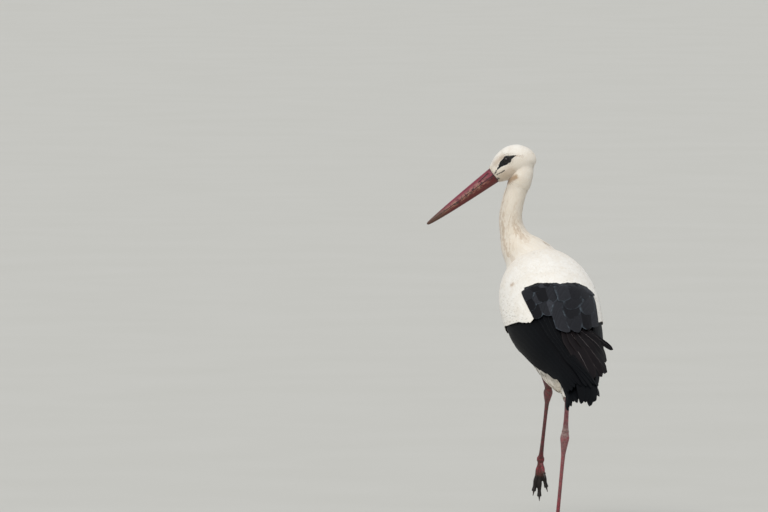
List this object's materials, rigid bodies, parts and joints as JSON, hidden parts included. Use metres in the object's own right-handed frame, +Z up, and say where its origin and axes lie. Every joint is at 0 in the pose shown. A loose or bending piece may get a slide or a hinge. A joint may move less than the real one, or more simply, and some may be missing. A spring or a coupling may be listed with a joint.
{
  "type": "white stork model",
  "caption": "Life-size still model of a white stork standing on one leg, the other lifted in a stride, wings closed, head turned back over its left shoulder.",
  "frame": {"origin": "on the floor under the pad of the standing right foot", "axes": "+Z up, the bird walks towards -Y, its left side is +X"},
  "size_m": [0.346, 0.5678, 0.8259],
  "materials": {
    "white_feather": "soft matt white feather vanes, cream on the neck and buff on the cheek",
    "black_feather": "glossy black flight feathers with a faint blue sheen, greyer where the edges are worn",
    "bill": "red horn, worn and scuffed paler along the top and brown at the tip",
    "leg_skin": "red scaly skin, muddy brown towards the toes",
    "claw": "dull dark horn",
    "eye": "wet glossy dark brown eye"
  },
  "bodies": {
    "root": {"bill_lower": "bill", "bill_upper": "bill", "coverts_left": "white_feather", "coverts_right": "white_feather", "eye_left": "eye", "eye_right": "eye", "head": "white_feather", "hind_toe_claw_left": "claw", "hind_toe_claw_right": "claw", "hind_toe_left": "leg_skin", "hind_toe_right": "leg_skin", "inner_toe_claw_left": "claw", "inner_toe_claw_right": "claw", "inner_toe_left": "leg_skin", "inner_toe_right": "leg_skin", "loose_feather_lower": "black_feather", "loose_feather_upper": "black_feather", "mantle": "white_feather", "middle_toe_claw_left": "claw", "middle_toe_claw_right": "claw", "middle_toe_left": "leg_skin", "middle_toe_right": "leg_skin", "neck_lower": "white_feather", "neck_middle": "white_feather", "neck_upper": "white_feather", "outer_toe_claw_left": "claw", "outer_toe_claw_right": "claw", "outer_toe_left": "leg_skin", "outer_toe_right": "leg_skin", "primaries_left": "black_feather", "primaries_right": "black_feather", "scapulars_left": "black_feather", "scapulars_right": "black_feather", "secondaries_left": "black_feather", "secondaries_right": "black_feather", "shank_left": "leg_skin", "shank_right": "leg_skin", "shin_left": "leg_skin", "shin_right": "leg_skin", "tail": "white_feather", "tertials_left": "black_feather", "tertials_right": "black_feather", "thigh_left": "white_feather", "thigh_right": "white_feather", "trunk": "white_feather"}
  },
  "joints": []
}
